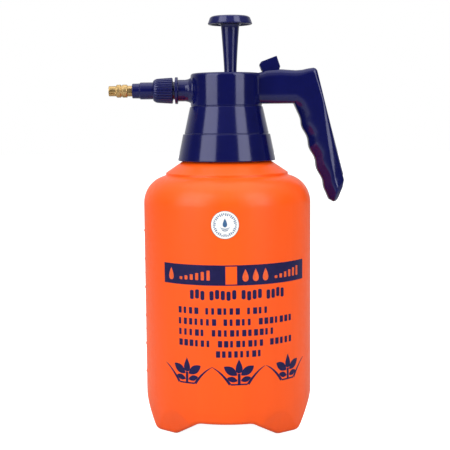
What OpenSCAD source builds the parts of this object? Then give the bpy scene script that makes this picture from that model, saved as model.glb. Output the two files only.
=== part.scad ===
// Hand pump pressure sprayer: a two litre bottle with a screw-on pump head.
// +Z is up along the bottle's axis and z = 0 is the surface that it stands on.
// The spout points along -X and the pistol grip hangs on the +X side.

/* [Bottle] */
// Outer diameter of the bottle body
bottle_d = 125; // [122:0.5:127]
// Height at which the straight wall ends and the shoulder begins
body_top = 167; // [160:1:170]
// Wall thickness of the blow-moulded bottle
bottle_wall = 1.6; // [1.2:0.1:2]
// Height of the arches between the four feet
arch_h = 12.4; // [9:0.2:13]
// Turn of the feet about the bottle's axis, in degrees
foot_turn = -2.5; // [-5:0.5:5]
// Outer radius of the neck
neck_r = 28.6; // [28.4:0.1:28.8]

/* [Head] */
// Radius of the pump cylinder on top of the head
head_r = 26.6; // [26.4:0.1:27]
// Height of the top of the head
head_top = 263; // [262:0.5:265]
// Radius of the skirt at its lower edge
skirt_r = 36.6; // [36:0.1:38]
// Height of the skirt's lower edge
skirt_z = 198.3; // [197.8:0.1:199]
// Height of the spout's axis
spout_z = 250.5; // [250:0.5:251]

/* [Pump] */
// Distance of the pump's axis from the bottle's axis, towards the grip
pump_x = 3.2; // [2.8:0.2:3.6]
// Bore radius of the pump barrel
bore_r = 11; // [10.8:0.1:11]
// Travel of the plunger
stroke = 35; // [30:1:35]
// Height of the top of the knob at rest
knob_top = 305; // [304:0.5:306]

/* [Handle] */
// Width of the bridge and the grip
grip_w = 23; // [22:0.5:26]
// Wall thickness of the hollow grip
grip_wall = 2.5; // [2:0.1:3]
// Number of grooves for the fingers
finger_count = 4; // [3:1:4]

/* [Nozzle] */
// Number of ribs on the collar nut
rib_count = 28; // [20:1:32]
// Distance from the bottle's axis to the nozzle's tip
nozzle_tip = 87.5; // [86:0.5:89]

/* [Hidden] */
$fn = 96;
eps = 0.02;

navy = [0.07, 0.08, 0.33];
orange = [1.0, 0.36, 0.12];
brass = [0.78, 0.6, 0.33];
rubber = [0.12, 0.12, 0.13];
clear = [0.85, 0.87, 0.88];
steel = [0.75, 0.76, 0.78];

// bottle
body_r = bottle_d / 2;
shoulder_r = 20.8;
cone_foot_r = 45.8;
cone_foot_z = 189.4;
cone_slope = 0.675;
neck_foot_z = cone_foot_z + (cone_foot_r - neck_r) * cone_slope;
neck_wall = 2;
neck_top = 216.5;
neck_bore_r = neck_r - neck_wall;
thread_crest_r = neck_r + 1.5;
thread_zs = [204.8, 209.6];
foot_d = 56.5;
foot_lean = 16.5;
foot_face = 38;
side_d = 53.6;
side_lean = 21;
// half width of the arch's top and slope of its flanks: front and back, then sides
arch_shapes = [[20, 30], [17, 45]];
arch_face_y = -57.5;
arch_flare = 19.4;
mark_pitch = 21.6;
mark_first_z = 38.4;
mark_count = 6;
sticker_z = 156;
sticker_r = 10;

// head
gasket_h = 2.2;
deck_z = neck_top + gasket_h;
deck_top = deck_z + 3.5;
chamber_r = head_r - 2.2;
roof_z = head_top - 2.4;
ring_low_z = 218;
ring_high_z = 238.1;
stem_hole_r = 7.2;

// spout and outlet valve
spout_bore_r = 4;
spout_step_x = -25.2;
nipple_end = -48.5;
inlet_x = -20.2;
dip_r = 3.2;
dip_foot_z = 17;
dip_top_z = neck_top + 0.3;
valve_bore_r = 3.6;
valve_body_end = -14;
valve_core_r = 1.6;
ring_groove_r = 2.65;
valve_ring_xs = [-23.4, -15.4];
fork_front_x = -7.5;
fork_rear_x = 17;
fork_tail_end = 26.9;

// pump
barrel_r = bore_r + 1.5;
piston_foot_z = 206;
barrel_foot_z = piston_foot_z - stroke - 5;
barrel_floor_z = barrel_foot_z + 2.5;
barrel_seat_z = deck_top + 1;
stem_r = 4.6;
stem_foot_z = piston_foot_z + 4;
knob_h = 6.3;
knob_r = 16.5;
knob_rim_z = knob_top - knob_h;

// handle
half_w = grip_w / 2;
bridge_low_z = 240.3;
grip_back_top = [67.2, 262.6];
grip_heel = [87.5, 183.4];
grip_front_top = [50.8, 240];
grip_front_low = [75.4, 170.8];
front_run = norm(grip_front_low - grip_front_top);
wave_pitch = 67.2 / finger_count;
wave_first = 26.3;
wave_h = 0.65;
finger_steps = finger_count * 9;
pocket_w = 13.2;

// trigger
pivot = [29.5, 260.5];
pin_r = 1.5;
pad_w = 12;
arm_w = 5;

// nozzle
nut_front = -54.3;
nut_rear = -39.8;
nut_bore_r = 7.6;
tube_front = -70;
cap_rear = -73.7;
journal_r = 2.6;

// Points along an arc round c, from angle a to angle b.
function arc(c, r, a, b, n) =
    [for (i = [0:n]) c + r * [cos(a + (b - a) * i / n), sin(a + (b - a) * i / n)]];

// Point a part k of the way from a to b.
function along(a, b, k) = a + (b - a) * k;

// Solid of revolution about the spout's axis from an outline of [radius, x].
module lathe_x(points) {
    translate([0, 0, spout_z]) rotate([0, 90, 0]) rotate_extrude() polygon(points);
}

module rod_x(x0, x1, r) {
    translate([x0, 0, spout_z]) rotate([0, 90, 0]) cylinder(h = x1 - x0, r = r);
}

module torus(ring_r, section_r) {
    rotate_extrude() translate([ring_r, 0]) circle(section_r, $fn = 24);
}

module torus_x(x, ring_r, section_r) {
    translate([x, 0, spout_z]) rotate([0, 90, 0]) torus(ring_r, section_r);
}

// Solid of revolution about the pump's axis from an outline of [radius, z].
module lathe_pump(points) {
    translate([pump_x, 0, 0]) rotate_extrude() polygon(points);
}

module pump_rod(z0, z1, r) {
    translate([pump_x, 0, z0]) cylinder(h = z1 - z0, r = r);
}

// Upright plate with its outline in the XZ plane, centred on y = 0.
module plate_xz(points, w) {
    translate([0, w / 2, 0]) rotate([90, 0, 0]) linear_extrude(w) polygon(points);
}

// ---- bottle ----

// Outer wall from the feet to the shoulder, inset by t.
function body_outline(t) = concat(
    [[0, t], [60.2 - t, t], [61.7 - t, 13], [body_r - t, 21]],
    arc([body_r - shoulder_r, body_top], shoulder_r - t, 0, 72, 9));

// Space under one side of an arch: everything below its flank.
module below_flank(half_top, slope, side, t) {
    translate([side * half_top, arch_face_y, arch_h])
        rotate([0, side * slope, side * arch_flare])
            translate([-100, -100, t - 200])
                cube([200, 200, 200]);
}

// Arch between two feet, flared outwards and downwards.
module arch(half_top, slope, t) {
    intersection() {
        translate([-48, -80, -10]) cube([96, 80, 10 + arch_h + t]);
        below_flank(half_top, slope, 1, t);
        below_flank(half_top, slope, -1, t);
    }
}

// Space outside a flat that leans in towards the base: turn is its bearing from -Y,
// d its distance from the axis at z = 0.
module outside_flat(turn, d, lean, t) {
    rotate([0, 0, turn])
        translate([0, t - d, 0])
            rotate([lean, 0, 0])
                translate([-60, -60, -40]) cube([120, 60, 100]);
}

module body_form(t) {
    wall = body_outline(t);
    difference() {
        rotate_extrude() polygon(concat(wall, [[0, wall[len(wall) - 1][1]]]));
        for (i = [0:3])
            rotate([0, 0, foot_turn + 90 * i])
                arch(arch_shapes[i % 2][0], arch_shapes[i % 2][1], t);
        for (i = [0, 180], side = [-1, 1])
            outside_flat(foot_turn + i + side * foot_face, foot_d, foot_lean, t);
        for (i = [90, 270]) outside_flat(foot_turn + i, side_d, side_lean, t);
    }
}

// Ledge, upper cone and neck as one turned solid.
module neck_form() {
    rotate_extrude() polygon(concat(
        [[0, 180], [48, 180]],
        arc([body_r - shoulder_r, body_top], shoulder_r, 70, 77, 2),
        [[cone_foot_r, 187.7], [cone_foot_r, 189], [cone_foot_r - 0.5, 189.7],
         [neck_r, neck_foot_z], [neck_r, neck_top], [0, neck_top]]));
}

module neck_bore() {
    cone_z = neck_foot_z - bottle_wall * 1.2 + neck_wall * cone_slope;
    rotate_extrude() polygon([
        [0, 184], [48, 184], [cone_foot_r - bottle_wall, 187.1], [neck_bore_r, cone_z],
        [neck_bore_r, neck_top + 1], [0, neck_top + 1]]);
}

module thread_ring(z) {
    translate([0, 0, z]) rotate_extrude() polygon([
        [neck_r - 0.5, -1.3], [neck_r, -1.3], [thread_crest_r, -0.4],
        [thread_crest_r, 0.4], [neck_r, 1.3], [neck_r - 0.5, 1.3]]);
}

// Raised bar that marks a volume on the spout side.
module volume_mark(z) {
    rotate([0, 0, 174])
        translate([0, 0, z])
            rotate_extrude(angle = 12) polygon([
                [body_r - 0.8, -0.8], [body_r, -0.8], [body_r + 0.6, -0.3],
                [body_r + 0.6, 0.3], [body_r, 0.8], [body_r - 0.8, 0.8]]);
}

module bottle() {
    color(orange)
    difference() {
        union() {
            body_form(0);
            neck_form();
            for (z = thread_zs) thread_ring(z);
            for (i = [0:mark_count - 1]) volume_mark(mark_first_z + i * mark_pitch);
        }
        body_form(bottle_wall);
        neck_bore();
    }
}

module round_sticker() {
    color("white")
    intersection() {
        difference() {
            translate([0, 0, 140]) cylinder(h = 32, r = body_r + 0.16);
            translate([0, 0, 139]) cylinder(h = 34, r = body_r + eps);
        }
        rotate([0, 0, -1.7])
            translate([0, 0, sticker_z])
                rotate([90, 0, 0]) cylinder(h = 80, r = sticker_r);
    }
}

module neck_gasket() {
    color(rubber)
    translate([0, 0, neck_top]) difference() {
        cylinder(h = gasket_h, r = neck_r + 0.6);
        translate([0, 0, -1]) cylinder(h = gasket_h + 2, r = neck_bore_r);
    }
}

// ---- head and handle ----

module head_form() {
    rotate_extrude() polygon(concat(
        [[0, skirt_z], [skirt_r - 0.4, skirt_z], [skirt_r, skirt_z + 0.5],
         [32.9, ring_low_z - 0.7], [32.6, ring_low_z],
         [31.7, ring_low_z + 0.4], [27.25, ring_high_z - 0.6], [27.2, ring_high_z],
         [head_r, ring_high_z + 0.5]],
        arc([head_r - 3, head_top - 3], 3, 0, 90, 5),
        [[0, head_top]]));
}

module head_hollow() {
    rotate_extrude() polygon([
        [0, skirt_z - 1], [skirt_r - 2, skirt_z - 1], [skirt_r - 2, skirt_z],
        [neck_r + 2, deck_z], [0, deck_z]]);
    rotate_extrude() polygon([
        [0, deck_top], [28.4, deck_top], [chamber_r + 0.2, ring_high_z],
        [chamber_r, roof_z], [0, roof_z]]);
}

// Ridges of the skirt, just clear of those on the neck.
module skirt_ridge(z) {
    translate([0, 0, z]) rotate_extrude() polygon([
        [thread_crest_r + 0.5, -0.5], [33, -1.6], [33, 1.6], [thread_crest_r + 0.5, 0.5]]);
}

module spout_form() {
    lathe_x([
        [0, nipple_end], [5.8, nipple_end], [6.6, nipple_end + 0.8], [6.6, -38.2],
        [9.95, -38.2], [9.95, -36], [8, -36], [8, -30], [8.6, -28.2],
        [10.4, -25.5], [10.4, -20], [0, -20]]);
    for (x = [-46, -43.5, -41])
        lathe_x([[6, x - 0.8], [6.6, x - 0.8], [7.2, x - 0.2], [7.2, x + 0.2],
                 [6.6, x + 0.8], [6, x + 0.8]]);
}

// Finger side of the grip: a straight line with shallow waves.
function finger_point(i) =
    let (k = i / finger_steps,
         run = front_run * k,
         fade = min(1, k * 5, (1 - k) * 8),
         p = along(grip_front_top, grip_front_low, k))
    [p[0] + wave_h * fade * cos(360 * (run - wave_first) / wave_pitch), p[1]];

function handle_outline() = concat(
    [[20, bridge_low_z], [20, 262], [26.4, 263.6], [30, 264.8], [40, 265.4], [46, 264.9],
     [51, 264.5], [56, 264.8], [60, 265.8]],
    arc([64.3, 263.3], 3, 105, 10, 6),
    [grip_heel, [86.4, 178], [83, 169.6], [81.8, 167.6], [80.3, 166.8], [78, 167.6]],
    [for (i = [finger_steps:-1:0]) finger_point(i)],
    [[49.6, bridge_low_z]]);

// Bevelled envelope of the bridge: full width in the middle, narrower above and below.
module bridge_envelope() {
    hull() {
        translate([15, -half_w, 245.2]) cube([52, grip_w, 16.2]);
        translate([15, 2.6 - half_w, 240]) cube([52, grip_w - 5.2, 27]);
    }
}

// Bevelled envelope of the grip: an eight-sided section that tapers to the toe.
module grip_envelope() {
    hull() {
        plate_xz([[57.5, 262], [62.5, 262], [77.5, 186], [81.5, 178], [79.5, 176],
                  [57.5, 240]], grip_w);
        plate_xz([[49, 240], [56, 268], [68, 268], [89, 184], [84, 166], [76, 166]],
                 grip_w - 10);
    }
}

module handle_form() {
    intersection() {
        plate_xz(handle_outline(), grip_w);
        union() {
            bridge_envelope();
            grip_envelope();
        }
    }
}

function back_point(k) = along(grip_back_top, grip_heel, k);

// Hollow of the grip, open at the back where the cover closes it.
module grip_pocket() {
    plate_xz([
        back_point(0.06) + [3, 0], back_point(0.96) + [3, 0], back_point(0.96) - [0.6, 0],
        [80.5, 178.5], [56.6, 246], [56.6, 257.8]], pocket_w);
}

module bridge_hollow() {
    translate([27.2, 2.5 - half_w, bridge_low_z + grip_wall])
        cube([30, grip_w - 5, 19.2]);
}

// Slot for the trigger's pad and the window for the valve fork's tail.
module trigger_openings() {
    translate([26.8, -pad_w / 2 - 0.4, 255]) cube([17.2, pad_w + 0.8, 20]);
    translate([23.5, -4, 246]) cube([4, 8, 11.5]);
    translate([pivot[0], 10.1, pivot[1]]) rotate([90, 0, 0]) cylinder(h = 20.2, r = pin_r + 0.01);
}

module inlet_form() {
    translate([inlet_x, 0, 208]) cylinder(h = deck_z - 207, r = 4.7);
    translate([inlet_x, 0, deck_top - 1]) cylinder(h = spout_z - deck_top + 1, r = 4);
    rod_x(-25.6, valve_body_end, 6.2);
}

module head_bores() {
    translate([inlet_x, 0, 207]) cylinder(h = 10, r = dip_r + 0.03);
    translate([inlet_x, 0, 216]) cylinder(h = spout_z - 216, r = 1.3);
    rod_x(spout_step_x - 0.1, valve_body_end + 1, valve_bore_r);
    rod_x(nipple_end - 1, spout_step_x, spout_bore_r);
    pump_rod(deck_z - 1, deck_top + 1, barrel_r + 0.1);
    pump_rod(roof_z - 1, head_top + 1, stem_hole_r);
}

module head_housing() {
    color(navy)
    difference() {
        union() {
            difference() {
                union() {
                    head_form();
                    handle_form();
                    spout_form();
                }
                head_hollow();
                bridge_hollow();
                grip_pocket();
            }
            inlet_form();
            skirt_ridge(207.2);
            skirt_ridge(212.4);
        }
        head_bores();
        trigger_openings();
    }
}

module grip_cover() {
    cover_w = pocket_w - 0.2;
    in = [-2.4, -0.6];
    color(navy) {
        plate_xz([back_point(0.065), back_point(0.955), back_point(0.955) + in,
                  back_point(0.065) + in], cover_w);
        for (k = [0.2, 0.5, 0.8])
            plate_xz([back_point(k) + in * 0.5, back_point(k + 0.02) + in * 0.5,
                      back_point(k + 0.02) + in * 2.6, back_point(k) + in * 2.6],
                     cover_w - 2);
    }
}

// ---- trigger and outlet valve ----

module trigger() {
    color(navy)
    difference() {
        union() {
            plate_xz([
                [24.6, 269], [25.7, 271], [37.4, 275.4], [40.1, 267.5], [38.6, 263.6],
                [33.5, 258], [30.5, 257.2], [28.6, 257.6], [27.1, 259.8], [27.1, 262.6],
                [27.9, 263.7], [26.2, 264.7]], pad_w);
            plate_xz([
                [33.5, 259], [32, 252], [30.4, 247.6], [28.2, 247.6], [27.2, 250.5],
                [27.9, 253.5], [28.6, 259]], arm_w);
        }
        translate([pivot[0], 20, pivot[1]]) rotate([90, 0, 0])
            cylinder(h = 40, r = pin_r + 0.05);
    }
}

module trigger_pin() {
    color(steel)
    translate([pivot[0], 10, pivot[1]]) rotate([90, 0, 0]) cylinder(h = 20, r = pin_r);
}

// Fork that reaches round the pump rod from the trigger to the outlet valve.
module valve_yoke() {
    color(clear)
    difference() {
        union() {
            translate([fork_front_x, -10.4, spout_z - 2.5])
                cube([fork_rear_x - fork_front_x, 20.8, 5]);
            rod_x(fork_rear_x - 1, fork_tail_end, 2.4);
        }
        translate([fork_front_x + 2.8, -7.6, spout_z - 4])
            cube([fork_rear_x - fork_front_x - 5.8, 15.2, 8]);
        rod_x(fork_front_x - 1, fork_front_x + 4, valve_core_r);
    }
}

module valve_pin() {
    land_r = valve_bore_r - 0.1;
    a = valve_ring_xs[0];
    b = valve_ring_xs[1];
    color(brass)
    lathe_x([
        [0, a - 1.4], [land_r - 0.4, a - 1.4], [land_r, a - 1], [land_r, a - 0.6],
        [ring_groove_r, a - 0.6], [ring_groove_r, a + 0.6], [land_r, a + 0.6],
        [land_r, a + 1], [valve_core_r, a + 1], [valve_core_r, b - 1], [land_r, b - 1],
        [land_r, b - 0.6], [ring_groove_r, b - 0.6], [ring_groove_r, b + 0.6],
        [land_r, b + 0.6], [land_r, b + 1], [valve_core_r, b + 1],
        [valve_core_r, fork_front_x + 2.8], [0, fork_front_x + 2.8]]);
}

module valve_o_rings() {
    color(rubber)
    for (x = valve_ring_xs) torus_x(x, 3.11, 0.45);
}

// Rings of points for a round wire wound about the spout's axis.
function coil_point(u, v, x0, x1, turns, coil_r, wire_r) =
    let (a = 360 * turns * u, r = coil_r + wire_r * cos(v))
    [x0 + (x1 - x0) * u + wire_r * sin(v), r * cos(a), spout_z + r * sin(a)];

module coil_x(x0, x1, turns, coil_r, wire_r) {
    rings = turns * 16;
    sides = 8;
    points = [for (i = [0:rings]) for (j = [0:sides - 1])
        coil_point(i / rings, 360 * j / sides, x0, x1, turns, coil_r, wire_r)];
    skin = [for (i = [0:rings - 1]) for (j = [0:sides - 1])
        let (a = i * sides + j, b = i * sides + (j + 1) % sides)
        [a, b, b + sides, a + sides]];
    ends = [[for (j = [sides - 1:-1:0]) j], [for (j = [0:sides - 1]) rings * sides + j]];
    polyhedron(points, concat(skin, ends));
}

module valve_spring() {
    color(steel)
    coil_x(valve_body_end + 0.35, fork_front_x - 0.35, 4, 2.9, 0.3);
}

// ---- pump ----

module pump_barrel() {
    color(clear)
    difference() {
        union() {
            pump_rod(barrel_foot_z, barrel_seat_z + 1, barrel_r);
            pump_rod(barrel_seat_z, barrel_seat_z + 2.5, barrel_r + 3);
        }
        pump_rod(barrel_floor_z, barrel_seat_z + 4, bore_r);
        pump_rod(barrel_foot_z - 1, barrel_floor_z + 1, 1.6);
        for (i = [0:3])
            translate([pump_x, 0, barrel_foot_z - 1])
                rotate([0, 0, 45 + 90 * i]) translate([4.5, 0, 0]) cylinder(h = 5, r = 1.1);
    }
}

module barrel_seal() {
    color(rubber)
    difference() {
        pump_rod(deck_top, barrel_seat_z, barrel_r + 2.8);
        pump_rod(deck_top - 1, barrel_seat_z + 1, barrel_r + 0.1);
    }
}

module barrel_nut() {
    color(clear)
    difference() {
        pump_rod(deck_z - 6, deck_z, barrel_r + 4);
        pump_rod(deck_z - 7, deck_z + 1, barrel_r + 0.05);
        for (i = [0:7])
            translate([pump_x, 0, deck_z - 7])
                rotate([0, 0, 45 * i]) translate([barrel_r + 4.6, 0, 0]) cylinder(h = 8, r = 2);
    }
}

module rod_guide() {
    color(clear)
    lathe_pump([
        [stem_r + 0.05, barrel_seat_z - 5], [bore_r - 0.05, barrel_seat_z - 5],
        [bore_r - 0.05, barrel_seat_z + 2.5], [bore_r + 3.4, barrel_seat_z + 2.5],
        [bore_r + 3, barrel_seat_z + 5], [stem_r + 0.05, barrel_seat_z + 5]]);
}

module check_valve() {
    z = barrel_foot_z;
    color(rubber)
    lathe_pump([
        [0, z - 1.6], [6.2, z - 1.2], [6.8, z - 0.4], [6.8, z], [1.5, z], [1.5, z + 2.7],
        [2.1, z + 3.2], [1.2, z + 4.3], [0, z + 4.5]]);
}

module valve_cage() {
    color(clear)
    difference() {
        pump_rod(barrel_foot_z - 6, barrel_foot_z + 5, barrel_r + 1.4);
        pump_rod(barrel_foot_z - 4.5, barrel_foot_z + 6, barrel_r + 0.05);
        for (i = [0:5])
            translate([pump_x, 0, barrel_foot_z - 8])
                rotate([0, 0, 60 * i]) translate([8, 0, 0]) cylinder(h = 6, r = 2.2);
    }
}

module dip_tube() {
    color(clear)
    translate([inlet_x, 0, 0]) difference() {
        translate([0, 0, dip_foot_z]) cylinder(h = dip_top_z - dip_foot_z, r = dip_r);
        translate([0, 0, dip_foot_z - 1]) cylinder(h = dip_top_z, r = dip_r - 1);
    }
}

module dip_strainer() {
    color(clear)
    translate([inlet_x, 0, dip_foot_z - 3]) difference() {
        cylinder(h = 12, r = dip_r + 1.6);
        translate([0, 0, 3]) cylinder(h = 10, r = dip_r + 0.03);
        translate([0, 0, -1]) cylinder(h = 6, r = dip_r - 1.4);
        for (i = [0:2])
            rotate([0, 0, 60 * i]) translate([-8, -0.4, -1]) cube([16, 0.8, 3.4]);
    }
}

module plunger_knob() {
    z = knob_rim_z;
    color(navy)
    lathe_pump([
        [0, z + 2.5], [5.2, z + 2.5], [5.2, z + 0.2], [8.4, z + 0.2], [8.9, z + 1.2],
        [14.2, z + 1.2], [14.6, z], [16.1, z], [knob_r, z + 0.5], [14.9, z + 5],
        [14.3, z + 5.6], [13.3, z + 5.9], [8, z + 6.2], [0, z + knob_h]]);
}

module plunger_stem() {
    z = knob_rim_z;
    color(navy)
    lathe_pump([
        [0, stem_foot_z], [stem_r, stem_foot_z], [stem_r, 263.6], [4.75, 266], [5.1, 272.4],
        [5.5, 279.7], [5.95, 287.1], [6.45, 294.5], [6.9, z - 0.6], [7.4, z + 0.2],
        [5.15, z + 0.2], [5.15, z + 2.4], [0, z + 2.4]]);
}

module piston() {
    z = piston_foot_z;
    color(clear)
    lathe_pump([
        [0, z], [9.8, z], [bore_r - 0.2, z + 1], [bore_r - 0.2, z + 3.4], [8, z + 3.4],
        [8, z + 8], [bore_r - 0.2, z + 8], [bore_r - 0.2, z + 11.5],
        [stem_r + 0.02, z + 11.5], [stem_r + 0.02, z + 4], [0, z + 4]]);
}

module piston_cup() {
    z = piston_foot_z + 3.5;
    color(rubber)
    lathe_pump([
        [8.05, z + 4.3], [8.05, z + 0.1], [bore_r - 0.7, z + 0.1], [bore_r - 0.05, z + 1.4],
        [bore_r - 0.05, z + 3.2], [9.4, z + 4.3]]);
}

// ---- nozzle ----

module nozzle_tube() {
    color(navy)
    lathe_x([
        [3.4, -50.2], [7.3, -50.2], [7.3, -52.2], [6.3, -52.2], [6.3, -64], [5.9, -64.3],
        [5.5, -64.3], [5.5, tube_front + 0.4], [5.1, tube_front], [3.02, tube_front],
        [3.02, -61.5], [3.4, -61.5]]);
}

module spout_o_ring() {
    color(rubber) torus_x((nipple_end - 50.2) / 2, 5.1, 0.84);
}

module nut_rib(angle) {
    translate([0, 0, spout_z]) rotate([angle, 0, 0])
        plate_xz([
            [nut_front + 1.1, 7.95], [nut_front + 2.4, 8.9], [nut_rear - 0.9, 9.7],
            [nut_rear - 0.3, 9.4], [nut_rear - 0.3, 7.95]], 0.95);
}

module collar_nut() {
    color(navy) {
        lathe_x([
            [6.55, nut_front], [7.5, nut_front], [8.3, nut_front + 1], [9.15, nut_rear],
            [nut_bore_r, nut_rear], [nut_bore_r, nut_front + 2.05],
            [6.55, nut_front + 2.05]]);
        for (i = [0:rib_count - 1]) nut_rib(360 * i / rib_count);
    }
}

module nozzle_stem() {
    color(brass)
    lathe_x([
        [1.2, -61.6], [3, -61.6], [3, tube_front], [3.85, tube_front],
        [3.85, cap_rear + 0.1], [journal_r, cap_rear + 0.1], [journal_r, -80],
        [1.7, -80.2], [0.5, -83.8], [0, -83.8], [0, -79], [1.2, -79]]);
}

module nozzle_cap() {
    land_r = journal_r + 0.06;
    band_r = 4.85;
    tip = -nozzle_tip;
    color(brass)
    difference() {
        lathe_x([
            [land_r, cap_rear], [band_r - 0.3, cap_rear], [band_r, cap_rear - 0.3],
            [band_r, -77.2], [4.3, -77.5], [4.3, -78.2], [band_r, -78.5], [band_r, -81.5],
            [4.5, -81.8], [3.8, -81.8], [3.8, tip + 0.4], [3.4, tip], [0.5, tip],
            [0.5, tip + 2.2], [2.3, tip + 2.6], [2.3, -80.6], [land_r, -80.6],
            [land_r, -76.2], [3.75, -76.2], [3.75, -74.9], [land_r, -74.9]]);
        translate([tip - 1, -5, spout_z - 0.6]) cube([2.2, 10, 1.2]);
    }
}

module nozzle_o_ring() {
    color(rubber) torus_x(-75.55, 3.16, 0.5);
}

bottle();
round_sticker();
neck_gasket();
head_housing();
grip_cover();
pump_barrel();
barrel_seal();
barrel_nut();
rod_guide();
check_valve();
valve_cage();
dip_tube();
dip_strainer();
plunger_knob();
plunger_stem();
piston();
piston_cup();
trigger();
trigger_pin();
valve_yoke();
valve_pin();
valve_o_rings();
valve_spring();
nozzle_tube();
spout_o_ring();
collar_nut();
nozzle_stem();
nozzle_cap();
nozzle_o_ring();
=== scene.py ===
"""Looks of the hand pump pressure sprayer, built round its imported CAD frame.

Lengths are millimetres unless a comment says metres; MM turns them into metres.
The shells that show are rebuilt as clean meshes on the frame's own dimensions, and the
inner works keep their CAD nodes with procedural finishes.
"""

import math
import random

import bmesh
import bpy
import numpy as np
from mathutils import Matrix, Vector


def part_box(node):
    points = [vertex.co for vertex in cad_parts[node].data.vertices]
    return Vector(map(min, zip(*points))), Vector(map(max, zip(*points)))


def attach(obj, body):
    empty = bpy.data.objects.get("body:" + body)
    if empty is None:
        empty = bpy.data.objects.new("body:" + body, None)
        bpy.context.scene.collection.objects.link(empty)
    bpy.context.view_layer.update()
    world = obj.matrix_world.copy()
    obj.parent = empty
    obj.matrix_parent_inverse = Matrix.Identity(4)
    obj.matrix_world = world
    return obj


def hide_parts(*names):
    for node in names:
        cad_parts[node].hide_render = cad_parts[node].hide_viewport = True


MM = 0.001
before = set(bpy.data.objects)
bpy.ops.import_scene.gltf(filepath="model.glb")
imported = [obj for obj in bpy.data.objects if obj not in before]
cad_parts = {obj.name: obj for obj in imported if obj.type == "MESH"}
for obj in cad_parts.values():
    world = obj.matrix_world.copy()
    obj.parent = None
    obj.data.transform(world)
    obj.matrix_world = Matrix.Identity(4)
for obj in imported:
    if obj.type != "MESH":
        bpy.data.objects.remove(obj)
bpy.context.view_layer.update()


def corners(node):
    """Lowest and highest corner of a CAD node, in millimetres."""
    low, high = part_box(node)
    return low / MM, high / MM


# ---- places read from the frame ----

NECK_TOP = corners("bottle")[1].z
BODY_R = corners("bottle")[1].y
STEM_LOW, STEM_HIGH = corners("plunger_stem")
KNOB_FOOT = corners("plunger_knob")[0].z
TUBE_LOW, TUBE_HIGH = corners("nozzle_tube")
NUT_LOW, NUT_HIGH = corners("collar_nut")
CAP_LOW, CAP_HIGH = corners("nozzle_cap")
PUMP_X = (STEM_LOW.x + STEM_HIGH.x) / 2
SPOUT_Z = (TUBE_LOW.z + TUBE_HIGH.z) / 2
HEAD_TOP = corners("trigger_pin")[1].z + 1.0
SKIRT_Z = NECK_TOP - 18.2
DECK_Z = corners("neck_gasket")[1].z

# ---- materials ----

# Noise seldom leaves this range, so the ramps and remaps span it.
NOISE_LOW, NOISE_HIGH = 0.3, 0.7


def material(name, colour, roughness, metallic=0.0, **sockets):
    """A Principled material; its even values are set on the shader's own sockets."""
    mat = bpy.data.materials.new(name)
    mat.use_nodes = True
    shader = mat.node_tree.nodes["Principled BSDF"]
    shader.inputs["Base Color"].default_value = (*colour, 1)
    shader.inputs["Roughness"].default_value = roughness
    shader.inputs["Metallic"].default_value = metallic
    for socket, value in sockets.items():
        shader.inputs[socket.replace("_", " ")].default_value = value
    return mat


def noise(mat, scale, detail=3.0, stretch=(1, 1, 1), rough=0.55):
    """Noise in object space, with features about 1 / scale metres across."""
    nodes, links = mat.node_tree.nodes, mat.node_tree.links
    coords = nodes.new("ShaderNodeTexCoord")
    mapping = nodes.new("ShaderNodeMapping")
    mapping.inputs["Scale"].default_value = stretch
    texture = nodes.new("ShaderNodeTexNoise")
    texture.inputs["Scale"].default_value = scale
    texture.inputs["Detail"].default_value = detail
    texture.inputs["Roughness"].default_value = rough
    links.new(coords.outputs["Object"], mapping.inputs["Vector"])
    links.new(mapping.outputs["Vector"], texture.inputs["Vector"])
    return texture.outputs["Fac"]


def ramp(mat, value, stops):
    """Colour ramp over value; stops are (position, linear RGB)."""
    node = mat.node_tree.nodes.new("ShaderNodeValToRGB")
    elements = node.color_ramp.elements
    while len(elements) < len(stops):
        elements.new(0.5)
    for element, (position, colour) in zip(elements, stops):
        element.position = position
        element.color = (*colour, 1)
    mat.node_tree.links.new(value, node.inputs["Fac"])
    return node.outputs["Color"]


def map_range(tree, value, *limits):
    """Spreads value from the first two limits over the last two."""
    node = tree.nodes.new("ShaderNodeMapRange")
    for key, limit in zip(("From Min", "From Max", "To Min", "To Max"), limits):
        node.inputs[key].default_value = limit
    tree.links.new(value, node.inputs["Value"])
    return node.outputs["Result"]


def remap(mat, value, low, high):
    """Spreads a noise value over low..high."""
    return map_range(mat.node_tree, value, NOISE_LOW, NOISE_HIGH, low, high)


def finish_with(mat, colour=None, roughness=None, bumps=()):
    """Joins colour, roughness and a chain of bumps to the shader. Each bump is (height,
    strength, depth in metres)."""
    nodes, links = mat.node_tree.nodes, mat.node_tree.links
    shader = nodes["Principled BSDF"]
    if colour is not None:
        links.new(colour, shader.inputs["Base Color"])
    if roughness is not None:
        links.new(roughness, shader.inputs["Roughness"])
    normal = None
    for height, strength, depth in bumps:
        bump = nodes.new("ShaderNodeBump")
        bump.inputs["Strength"].default_value = strength
        bump.inputs["Distance"].default_value = depth
        links.new(height, bump.inputs["Height"])
        if normal is not None:
            links.new(normal, bump.inputs["Normal"])
        normal = bump.outputs["Normal"]
    if normal is not None:
        links.new(normal, shader.inputs["Normal"])
    return mat


def around(colour, share):
    """Darker and lighter versions of a colour, for a ramp over noise."""
    return [(NOISE_LOW, tuple(c * (1 - share) for c in colour)),
            (NOISE_HIGH, tuple(min(1, c * (1 + share)) for c in colour))]


def bottle_plastic():
    """Satin blow-moulded polyethylene, with faint upright flow lines and a fine grain."""
    colour = (0.98, 0.099, 0.0045)
    mat = material("bottle_hdpe", colour, 0.36, Specular_IOR_Level=0.32)
    flow = noise(mat, 55, 4, (1, 1, 0.08))
    return finish_with(
        mat, ramp(mat, flow, around(colour, 0.05)),
        remap(mat, noise(mat, 260, 4), 0.3, 0.42),
        [(noise(mat, 30, 2, (1, 1, 0.4)), 0.10, 0.0006), (noise(mat, 1500, 2), 0.06, 0.0001)])


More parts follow.
